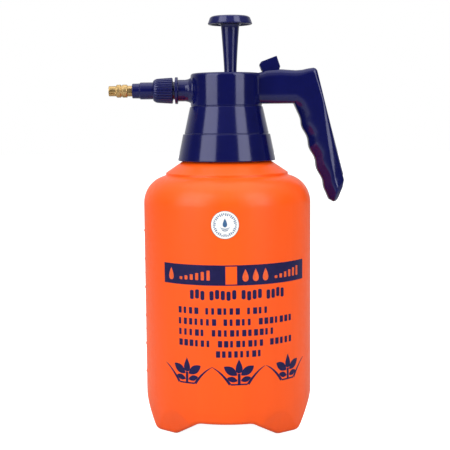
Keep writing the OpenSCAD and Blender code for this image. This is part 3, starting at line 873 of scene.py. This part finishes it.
def make_handle():
    """Bridge and pistol grip lofted from the finger side to the back, with the trigger's slot."""
    rows = []
    stations = handle_stations()
    full_length, last_rows = 14, 8
    for i, (a, b, (w_in, b_in, w_out, b_out)) in enumerate(stations):
        a, b = np.array(a, float), np.array(b, float)
        length = np.linalg.norm(b - a)
        along = (b - a) / length
        squeeze = min(1.0, length / full_length)
        left = len(stations) - 1 - i
        pinch = 1 - 0.3 * max(0, (last_rows - left) / last_rows) ** 2
        half, widest = HALF_W * pinch, 0.45 * length
        ring = eight_sided(length, min(w_in, half) * pinch, min(b_in * squeeze, widest),
                           min(w_out * pinch, half - 0.3), min(b_out * squeeze, widest), half)
        rows.append([(a[0] + along[0] * d, w, a[1] + along[1] * d) for d, w in ring])
    handle = navy_piece("handle", grid_mesh(rows, False, True, True), "head",
                        ["head_housing"], 30)
    slot, cavity = box_cutter(*TRIGGER_SLOT, 0.5), box_cutter(*BRIDGE_CAVITY)
    cut(handle, [slot, cavity], 30)


def box_cutter(low, high, bevel=0.0):
    """Box between two corners in millimetres, as a bmesh in metres."""
    bm = bmesh.new()
    bmesh.ops.create_cube(bm, size=1)
    for v in bm.verts:
        v.co = [MM * (low[i] if v.co[i] < 0 else high[i]) for i in range(3)]
    if bevel:
        bmesh.ops.bevel(bm, geom=bm.edges, offset=bevel * MM, segments=3, profile=0.5,
                        affect="EDGES")
    return bm


def bore_cutter(radius, x_from, x_to, steps=64):
    """Cylinder on the spout's axis, as a bmesh in metres."""
    side = [(0, x_from), (radius, x_from), (radius, x_to), (0, x_to)]
    bm = turned(side, "x", steps)
    weld_to_metres(bm)
    return bm


def cut(obj, cutters, crease):
    """Takes closed cutters out of a piece and keeps the exact result as its mesh."""
    helpers = []
    for bm in cutters:
        helpers.append(link_object("cutter", mesh_from("cutter", bm)))
        modifier = obj.modifiers.new("cut", "BOOLEAN")
        modifier.operation = "DIFFERENCE"
        modifier.solver = "EXACT"
        modifier.object = helpers[-1]
    bpy.context.view_layer.update()
    done = obj.evaluated_get(bpy.context.evaluated_depsgraph_get())
    result = bpy.data.meshes.new_from_object(done)
    obj.modifiers.clear()
    obj.data = result
    for helper in helpers:
        bpy.data.objects.remove(helper)
    shade(obj, crease)


def make_grip_cover():
    """Closing strip along the back of the grip, a little proud with rounded edges."""
    a, b = np.array(GRIP_BACK_TOP, float), np.array(GRIP_HEEL, float)
    down = (b - a) / np.linalg.norm(b - a)
    out = np.array((-down[1], down[0]))
    width, depth, proud = 6.4, 2.2, 0.35
    edge = [(-depth, -width), (-depth, width), (proud - 0.45, width), (proud - 0.12, width - 0.12),
            (proud, width - 0.5), (proud, -width + 0.5), (proud - 0.12, -width + 0.12),
            (proud - 0.45, -width)]
    rows = []
    for k, tuck in ((0.065, 0.8), (0.067, 0.25), (0.072, 0), (0.3, 0), (0.55, 0), (0.8, 0),
                    (0.948, 0), (0.953, 0.25), (0.955, 0.8)):
        p = a + (b - a) * k
        stand = [(d - tuck * (d > 0), w) for d, w in edge]
        rows.append([(p[0] + out[0] * d, w, p[1] + out[1] * d) for d, w in stand])
    navy_piece("grip_cover_strip", grid_mesh(rows, False, True, True), "head", ["grip_cover"])


# ---- plunger and trigger ----


def make_plunger():
    """Push knob with its hollow underside, and the rod that flares up into it."""
    z = KNOB_FOOT
    knob = fillet([(0, z + 2.5, 0), (5.2, z + 2.5, 0.3), (5.3, z + 0.2, 0.3), (8.4, z + 0.2, 0.3),
                   (8.9, z + 1.4, 0.4), (14.0, z + 1.4, 0.4), (14.6, z, 0.3), (16.0, z, 0.4),
                   (16.5, z + 0.7, 0.5), (14.9, z + 5.0, 0.8), (13.6, z + 5.9, 0.9),
                   (8.0, z + 6.2, 2), (0, z + 6.3, 0)], 5, 0.35)
    navy_piece("push_knob", turned(knob, x=PUMP_X), "plunger", ["plunger_knob"], 40)
    rod_r, spread, flare_z, foot = 4.6, 2.3, 262, STEM_LOW.z
    flare = [(rod_r + spread * ((h - flare_z) / (z - flare_z)) ** 1.35, h, 0)
             for h in np.linspace(flare_z, z - 0.8, 22)]
    rod = [(0, foot, 0), (rod_r, foot, 0.5)] + [(rod_r, h, 0) for h in (220, 240, 255)]
    neck = [(7.3, z + 0.1, 0.3), (5.15, z + 0.2, 0.1), (5.15, z + 2.4, 0.2), (0, z + 2.4, 0)]
    stem = turned(fillet(rod + flare + neck, 4, 0.3), steps=96, x=PUMP_X)
    navy_piece("pump_stem", stem, "plunger", ["plunger_stem"], 40)


def plate(outline, width, bevel):
    """Upright plate with its outline in the XZ plane and all its edges rounded."""
    bm = bmesh.new()
    face = bm.faces.new([bm.verts.new((x, -width / 2, z)) for x, z in outline])
    made = bmesh.ops.extrude_face_region(bm, geom=[face])
    moved = [g for g in made["geom"] if isinstance(g, bmesh.types.BMVert)]
    bmesh.ops.translate(bm, vec=(0, width, 0), verts=moved)
    bmesh.ops.recalc_face_normals(bm, faces=bm.faces)
    bmesh.ops.bevel(bm, geom=bm.edges, offset=bevel, segments=4, profile=0.5, affect="EDGES")
    return bm


def make_trigger():
    """Thumb pad over the bridge, and the arm below it that pushes the valve's yoke."""
    pad = [(24.6, 269), (25.9, 271.1), (37.4, 275.4), (40.1, 267.5), (38.6, 263.6), (33.5, 258),
           (30.5, 257.2), (28.6, 257.6), (27.1, 259.8), (27.1, 262.6), (27.9, 263.7),
           (26.2, 264.7)]
    navy_piece("thumb_trigger", plate(pad, 12, 0.55), "trigger", ["trigger"])
    arm = [(33.5, 259), (32, 252), (30.4, 247.6), (28.2, 247.6), (27.2, 250.5), (27.9, 253.5),
           (28.6, 259)]
    navy_piece("trigger_arm", plate(arm, 5, 0.4), "trigger", ["trigger"])


# ---- nozzle ----


def make_collar():
    """Collar nut with fine ribs that end in a ring of teeth at its front."""
    front, rear, ribs, rib_height, ribs_from_r = NUT_LOW.x, NUT_HIGH.x, 28, 0.52, 8.1
    lip, mouth, bore = front + 2.05, 6.55, 7.6
    outline = fillet([(mouth, lip, 0), (mouth, front, 0.2), (7.4, front, 0.3),
                      (8.2, front + 1.0, 0.3), (8.25, front + 1.2, 0), (8.3, front + 1.9, 0),
                      (8.35, front + 2.6, 0), (8.5, front + 4, 0), (8.7, front + 7, 0),
                      (8.9, front + 10, 0), (9.1, rear - 1.0, 0), (9.15, rear - 0.5, 0.2),
                      (9.15, rear, 0.25), (bore, rear, 0.2), (bore, lip, 0.2),
                      (6.56, lip, 0)], 3, 0.2)

    def ribbed(angle, x, r):
        if r < ribs_from_r:
            return 0.0
        tooth = (angle * ribs / (2 * math.pi)) % 1
        shape = ease((0.5 - abs(tooth - 0.5)) / 0.32)
        reach = ease((x - front - 0.9) / 1.6) * ease((rear - 0.1 - x) / 0.5)
        return rib_height * shape * reach

    bm = turned(outline, "x", ribs * 14, True, ribbed)
    navy_piece("ribbed_collar", bm, "collar", ["collar_nut"], 45)


def make_tube():
    """Stepped spray tube, with the flange that the collar nut holds."""
    front, bore, seat = TUBE_LOW.x, 3.4, 3.02
    outline = fillet([(bore, -50.2, 0), (7.3, -50.2, 0.2), (7.3, -52.2, 0.2), (6.3, -52.2, 0.1),
                      (6.3, -58.0, 0), (6.3, -63.9, 0.35), (5.6, -64.5, 0.3), (5.5, -67, 0),
                      (5.5, front, 0.55), (seat, front, 0.3), (seat, -61.5, 0.1),
                      (bore, -61.5, 0.1), (bore, -50.21, 0)], 4, 0.3)
    navy_piece("spray_tube", turned(outline, "x", 96, True), "nozzle", ["nozzle_tube"])


FLAT_TO_MIDDLE = 3.62
BAND_R, TIP_R = 4.72, 3.8
KNURLS, KNURL_TWIST, KNURL_DEPTH = 34, 5.2, 0.09
SLOT_BEARINGS = (math.radians(200), math.radians(20))
SLOT_END, SLOT_HALF_WIDTH, SLOT_DEPTH = -83.0, 0.95, 0.75


def wrench_flats(angle, x, r):
    """Trims the stem's collar to a hexagon."""
    if r < 3.3 or x > -70.05 or x < CAP_HIGH.x + 0.12:
        return 0.0
    off = (angle + math.pi / 6) % (math.pi / 3) - math.pi / 6
    return min(0.0, FLAT_TO_MIDDLE / math.cos(off) - r)


def slot_depth(angle, x):
    """Part of the full depth of the side slots in the cap's tip, 1 inside and 0 outside."""
    across = min(abs(math.sin(angle - t) * TIP_R) if math.cos(angle - t) > 0 else 9
                 for t in SLOT_BEARINGS)
    reach = math.hypot(across, max(0.0, x - SLOT_END))
    return ease((SLOT_HALF_WIDTH - reach) / 0.3)


def cap_relief(angle, x, r):
    """Crossed knurls on the cap's bands and slots in the sides of its tip."""
    if r > 4.65:
        rising = math.cos(KNURLS * angle + KNURL_TWIST * x)
        falling = math.cos(KNURLS * angle - KNURL_TWIST * x)
        return KNURL_DEPTH * max(rising, falling)
    if 3.5 < r < 3.9 and x < -82.2:
        return -SLOT_DEPTH * slot_depth(angle, x)
    return 0.0


def make_brass():
    """Brass stem with wrench flats on its collar, and the cap with two knurled bands."""
    front, rear = CAP_LOW.x, CAP_HIGH.x
    stem = fillet([(1.2, -61.6, 0), (3.0, -61.6, 0.2), (3.0, -70.0, 0.05), (4.0, -70.0, 0.3),
                   (4.0, rear + 0.1, 0.3), (2.6, rear + 0.1, 0.05), (2.6, -80, 0.2),
                   (1.7, -80.2, 0.1), (0.5, -83.8, 0.2), (0.01, -83.8, 0), (0.01, -79, 0),
                   (1.2, -79, 0.1), (1.2, -61.61, 0)], 3, 0.2)
    add_piece("brass_stem", turned(stem, "x", 96, True, wrench_flats), "nozzle",
              BRASS, ["nozzle_stem"])
    rear_band = [(BAND_R, x, 0) for x in np.linspace(-77.15, rear - 0.35, 8)[::-1]]
    front_band = [(BAND_R, x, 0) for x in np.linspace(-81.4, -78.6, 8)[::-1]]
    tip = [(TIP_R, x, 0) for x in (-82.3, -82.6, -82.9, -83.3, -84, -85, -86, -86.6)]
    cap = fillet(
        [(2.66, rear - 0.01, 0), (2.66, rear, 0.05), (4.5, rear, 0.1)] + rear_band
        + [(4.2, -77.5, 0.1), (4.2, -78.2, 0.1)] + front_band
        + [(4.4, -81.8, 0.1), (TIP_R, -81.9, 0.15)] + tip
        + [(TIP_R, front, 0.4), (0.9, front, 0.15), (0.5, front + 0.5, 0.1),
           (0.5, front + 2.2, 0.1), (2.3, front + 2.6, 0.1), (2.3, -80.6, 0.1),
           (2.66, -80.6, 0.05)], 3, 0.12)
    add_piece("brass_cap", turned(cap, "x", 240, True, cap_relief), "nozzle_cap",
              BRASS, ["nozzle_cap"], 60)


# ---- inner works keep their CAD nodes ----

INNER_WORKS = [
    (NATURAL, "clear_plastic", ["pump_barrel", "barrel_nut", "rod_guide", "valve_cage",
                                "dip_tube", "dip_strainer", "piston", "valve_yoke"]),
    (RUBBER, "rubber", ["neck_gasket", "barrel_seal", "check_valve", "piston_cup",
                        "valve_o_rings", "spout_o_ring", "nozzle_o_ring"]),
    (STEEL, "steel", ["trigger_pin", "valve_spring"]),
    (BRASS, "brass", ["valve_pin"])]


def dress_inner_works():
    """Gives the CAD nodes that no shell replaces their finish and smooth shading."""
    for mat, slot, names in INNER_WORKS:
        for name in names:
            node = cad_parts[name]
            node.data.materials.clear()
            node.data.materials.append(mat)
            shade(node, 35)


# ---- studio ----

CAMERA_PLACE = (-1.8, -759.7, 229.7)
CAMERA_PITCH, CAMERA_ROLL = math.radians(6.03), math.radians(-0.5)
LENS = 80.8

# Softboxes: name, bearing, distance, height, size, radiance and the height they aim at.
# These lengths and the floor's radius are metres; bearings are degrees from -Y to +X.
SOFTBOXES = [
    ("key_left", -48, 1.0, 0.73, (0.78, 1.08), 4.0, 0.42),
    ("key_right", 44, 1.0, 0.73, (0.56, 1.08), 4.2, 0.42),
    ("top", 170, 0.1, 1.5, (1.8, 1.4), 1.2, 0.0)]

# The world's light by direction: (axis, from, to), rising over WORLD_DIM to WORLD_BRIGHT.
WORLD_RISES = [("Y", 0.15, 0.75), ("Z", 0.35, 0.7)]
WORLD_DIM, WORLD_BRIGHT = 0.10, 0.8
FLOOR_RADIUS, FLOOR_GREY, FLOOR_WHITE = 6, 0.5, 0.97


def make_camera():
    """Level with the head and pitched down a little, at the distance of a product shot."""
    data = bpy.data.cameras.new("camera")
    data.sensor_width = 36
    data.lens = LENS
    data.clip_end = 50
    camera = link_object("camera", data)
    camera.matrix_world = (Matrix.Translation([MM * v for v in CAMERA_PLACE])
                           @ Matrix.Rotation(math.pi / 2 - CAMERA_PITCH, 4, "X")
                           @ Matrix.Rotation(CAMERA_ROLL, 4, "Z"))
    bpy.context.scene.camera = camera


def softbox(name, bearing, distance, height, size, radiance, target):
    """Rectangular area light aimed at the middle line of the sprayer."""
    data = bpy.data.lights.new(name, "AREA")
    data.shape = "RECTANGLE"
    data.size, data.size_y = size
    data.energy = radiance * math.pi * size[0] * size[1]
    light = link_object(name, data)
    a = math.radians(bearing)
    place = Vector((distance * math.sin(a), -distance * math.cos(a), height))
    aim = Vector((0, 0, target)) - place
    turn = aim.to_track_quat("-Z", "Y").to_matrix().to_4x4()
    light.matrix_world = Matrix.Translation(place) @ turn


def make_world():
    """White to the camera. To everything else it is dim, and brighter behind and above."""
    world = bpy.data.worlds.new("studio")
    bpy.context.scene.world = world
    world.use_nodes = True
    nodes, links = world.node_tree.nodes, world.node_tree.links
    nodes.clear()
    out, seen, cast, mix, path, coords, split, brighter = (
        nodes.new(f"ShaderNode{kind}") for kind in
        ("OutputWorld", "Background", "Background", "MixShader", "LightPath", "TexCoord",
         "SeparateXYZ", "Math"))
    seen.inputs["Color"].default_value = (1, 1, 1, 1)
    seen.inputs["Strength"].default_value = 1.0
    brighter.operation = "MAXIMUM"
    links.new(coords.outputs["Generated"], split.inputs["Vector"])
    for i, (axis, low, high) in enumerate(WORLD_RISES):
        rise = map_range(world.node_tree, split.outputs[axis], low, high, WORLD_DIM, WORLD_BRIGHT)
        links.new(rise, brighter.inputs[i])
    links.new(brighter.outputs["Value"], cast.inputs["Strength"])
    links.new(path.outputs["Is Camera Ray"], mix.inputs["Fac"])
    links.new(cast.outputs["Background"], mix.inputs[1])
    links.new(seen.outputs["Background"], mix.inputs[2])
    links.new(mix.outputs["Shader"], out.inputs["Surface"])


def make_floor():
    """Plain pale floor that the camera sees as white."""
    bm = bmesh.new()
    bmesh.ops.create_circle(bm, cap_ends=True, radius=FLOOR_RADIUS, segments=96)
    floor = link_object("floor", mesh_from("floor", bm))
    pale = material("pale_floor", (FLOOR_GREY,) * 3, 0.8,
                    Emission_Color=(FLOOR_WHITE, FLOOR_WHITE, FLOOR_WHITE, 1))
    nodes, links = pale.node_tree.nodes, pale.node_tree.links
    path = nodes.new("ShaderNodeLightPath")
    links.new(path.outputs["Is Camera Ray"], nodes["Principled BSDF"].inputs["Emission Strength"])
    floor.data.materials.append(pale)


def make_studio():
    """Camera, lights, world and floor, shown with plain display colours."""
    make_camera()
    for light in SOFTBOXES:
        softbox(*light)
    make_world()
    make_floor()
    view = bpy.context.scene.view_settings
    view.view_transform = "Standard"
    view.look = "None"


make_studio()
make_bottle()
make_band()
make_print_lines()
make_sprouts()
make_sticker()
make_volume_marks()
make_head_shell()
make_spout()
make_handle()
make_grip_cover()
make_plunger()
make_trigger()
make_collar()
make_tube()
make_brass()
dress_inner_works()
